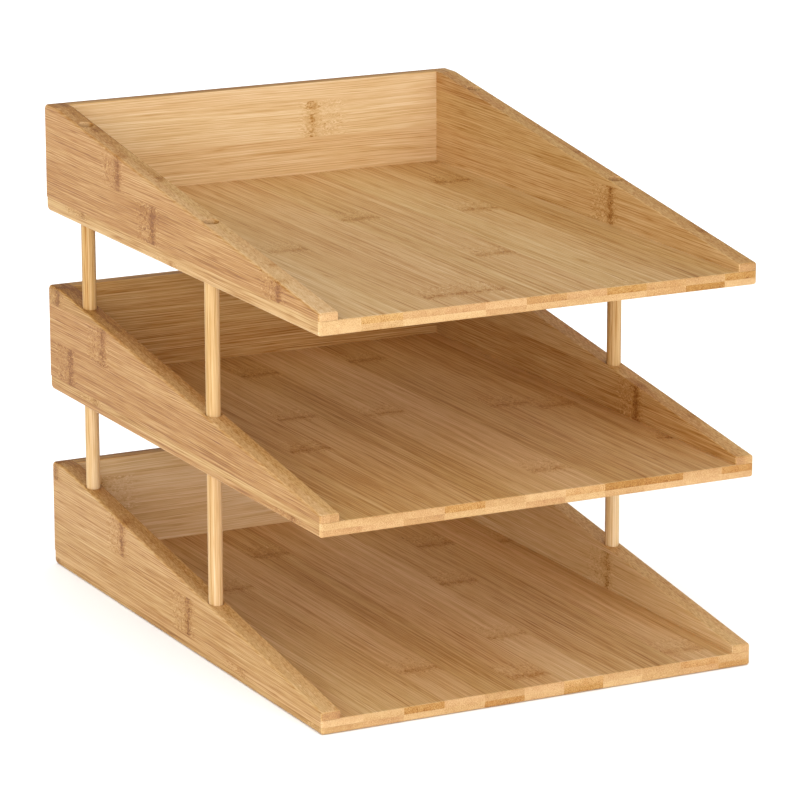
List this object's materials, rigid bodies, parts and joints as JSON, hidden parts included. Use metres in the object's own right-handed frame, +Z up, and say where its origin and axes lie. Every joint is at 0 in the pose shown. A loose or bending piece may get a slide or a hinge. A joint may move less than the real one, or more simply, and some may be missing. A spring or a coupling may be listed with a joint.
{
  "type": "stacking letter tray",
  "caption": "Stacking letter tray of bamboo boards: open-fronted trays with sloping sides and a back panel, one above another on loose round posts.",
  "frame": {"origin": "centre of the footprint, on the surface that the stack stands on", "axes": "+X to the right seen from the open front, +Y from the open front to the back panels, +Z up"},
  "size_m": [0.247, 0.341, 0.261],
  "materials": {
    "bamboo_side": "satin lacquered bamboo, grain along the depth, with nodes",
    "bamboo_back": "satin lacquered bamboo, grain along the width",
    "bamboo_floor": "satin lacquered bamboo strips, grain front to back, end grain at the front edge",
    "bamboo_post": "satin lacquered bamboo rod, grain along its length",
    "screw_steel": "zinc plated",
    "pin_wood": "plain, glued in"
  },
  "bodies": {
    "bottom_tray": {"bottom_floor": "bamboo_floor", "bottom_left_side": "bamboo_side", "bottom_right_side": "bamboo_side", "bottom_back_panel": "bamboo_back", "bottom_screws": "screw_steel", "bottom_dowel_pins": "pin_wood"},
    "lower_posts": {"lower_post_front_left": "bamboo_post", "lower_post_front_right": "bamboo_post", "lower_post_back_left": "bamboo_post", "lower_post_back_right": "bamboo_post"},
    "middle_tray": {"middle_floor": "bamboo_floor", "middle_left_side": "bamboo_side", "middle_right_side": "bamboo_side", "middle_back_panel": "bamboo_back", "middle_screws": "screw_steel", "middle_dowel_pins": "pin_wood"},
    "upper_posts": {"upper_post_front_left": "bamboo_post", "upper_post_front_right": "bamboo_post", "upper_post_back_left": "bamboo_post", "upper_post_back_right": "bamboo_post"},
    "top_tray": {"top_floor": "bamboo_floor", "top_left_side": "bamboo_side", "top_right_side": "bamboo_side", "top_back_panel": "bamboo_back", "top_screws": "screw_steel", "top_dowel_pins": "pin_wood"}
  },
  "joints": [
    {"name": "lower_posts_lift", "type": "slide", "parent": "bottom_tray", "child": "lower_posts", "axis": [0, 0, 1], "range_m": [0, 0.04]},
    {"name": "middle_tray_lift", "type": "slide", "parent": "lower_posts", "child": "middle_tray", "axis": [0, 0, 1], "range_m": [0, 0.04]},
    {"name": "upper_posts_lift", "type": "slide", "parent": "middle_tray", "child": "upper_posts", "axis": [0, 0, 1], "range_m": [0, 0.04]},
    {"name": "top_tray_lift", "type": "slide", "parent": "upper_posts", "child": "top_tray", "axis": [0, 0, 1], "range_m": [0, 0.04]}
  ]
}
